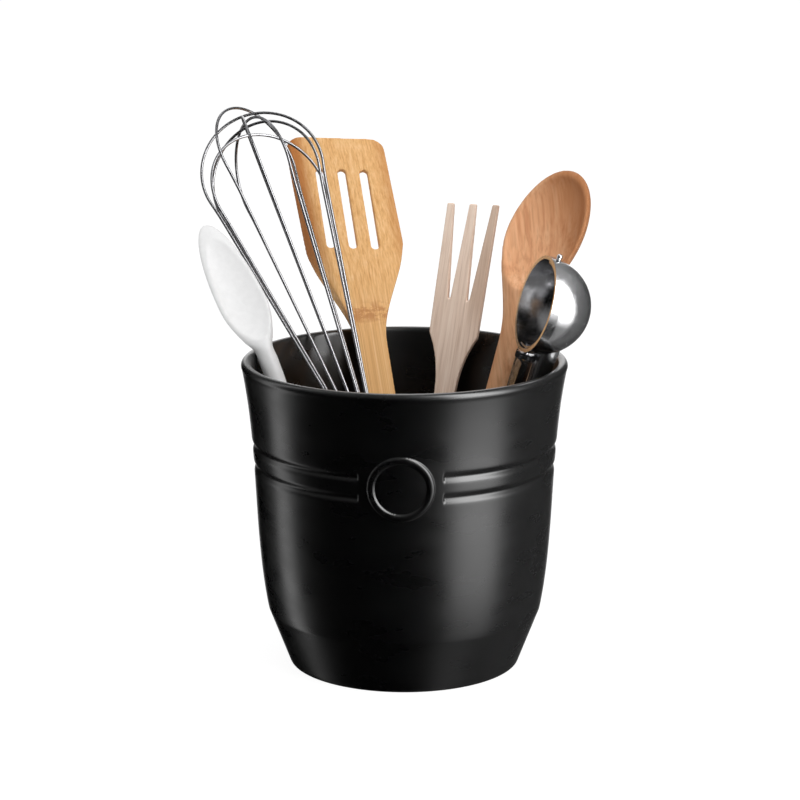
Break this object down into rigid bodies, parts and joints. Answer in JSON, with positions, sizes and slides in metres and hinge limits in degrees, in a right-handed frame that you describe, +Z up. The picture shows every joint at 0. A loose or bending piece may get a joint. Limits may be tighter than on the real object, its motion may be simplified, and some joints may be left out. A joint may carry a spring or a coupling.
{
  "type": "utensil crock",
  "caption": "Black glazed stoneware utensil crock holding a whisk, a slotted turner, a fork, spoons and an ice-cream scoop that lift out.",
  "frame": {"origin": "centre of the crock's flat foot, on the surface it stands on", "axes": "+Z up out of the crock's mouth, -Y towards the front with the medallion, +X to the right seen from the front"},
  "size_m": [0.1939, 0.2169, 0.2575],
  "materials": {
    "black_glaze": "satin",
    "white_plastic": "satin",
    "bamboo": "satin",
    "pale_beech": "matte",
    "brown_wood": "satin",
    "wire_steel": "polished",
    "handle_steel": "brushed",
    "plug_plastic": "matte",
    "chrome": "polished",
    "spring_steel": "satin"
  },
  "bodies": {
    "crock": {"crock_body": "black_glaze"},
    "white_spoon_tool": {"white_spoon": "white_plastic"},
    "whisk_tool": {"whisk_handle": "handle_steel", "whisk_plug": "plug_plastic", "whisk_end_cap": "handle_steel", "whisk_wire_1": "wire_steel", "whisk_wire_2": "wire_steel", "whisk_wire_3": "wire_steel", "whisk_wire_4": "wire_steel", "whisk_wire_5": "wire_steel", "whisk_wire_6": "wire_steel"},
    "turner_tool": {"turner": "bamboo"},
    "fork_tool": {"fork": "pale_beech"},
    "wooden_spoon_tool": {"wooden_spoon": "brown_wood"},
    "scoop_tool": {"scoop_handle": "chrome", "scoop_neck": "chrome", "scoop_bowl": "chrome", "lever_bracket": "chrome", "lever_pivot_pin": "chrome", "lever_spring": "spring_steel", "sweeper_top_pin": "chrome"},
    "lever": {"scoop_lever": "chrome"},
    "sweeper": {"sweeper_blade": "spring_steel", "sweeper_pinion": "spring_steel"}
  },
  "joints": [
    {"name": "white_spoon_lift", "type": "slide", "parent": "crock", "child": "white_spoon_tool", "axis": [-0.3138, 0.0155, 0.9494], "range_m": [0, 0.16]},
    {"name": "whisk_lift", "type": "slide", "parent": "crock", "child": "whisk_tool", "axis": [-0.3513, 0.4494, 0.8214], "range_m": [0, 0.18]},
    {"name": "turner_lift", "type": "slide", "parent": "crock", "child": "turner_tool", "axis": [-0.1554, 0.506, 0.8484], "range_m": [0, 0.175]},
    {"name": "fork_lift", "type": "slide", "parent": "crock", "child": "fork_tool", "axis": [0.1495, 0.2079, 0.9667], "range_m": [0, 0.155]},
    {"name": "wooden_spoon_lift", "type": "slide", "parent": "crock", "child": "wooden_spoon_tool", "axis": [0.2538, 0.1842, 0.9496], "range_m": [0, 0.155]},
    {"name": "scoop_lift", "type": "slide", "parent": "crock", "child": "scoop_tool", "axis": [0.3074, -0.0652, 0.9494], "range_m": [0, 0.155]},
    {"name": "lever_squeeze", "type": "hinge", "parent": "scoop_tool", "child": "lever", "pos_m": [0.04429, -0.00794, 0.11287], "axis": [0.222, -0.9652, -0.1381], "range_deg": [0, 16], "stiffness_Nm_per_rad": 0.4, "springref_deg": -14.32, "deforming": ["lever_spring"]},
    {"name": "sweeper_turn", "type": "hinge", "parent": "scoop_tool", "child": "sweeper", "pos_m": [0.0651, -0.01235, 0.17714], "axis": [0.3074, -0.0652, 0.9494], "range_deg": [0, 160]}
  ],
  "couplings": [
    {"joint": "sweeper_turn", "follows": "lever_squeeze", "ratio": 10}
  ]
}
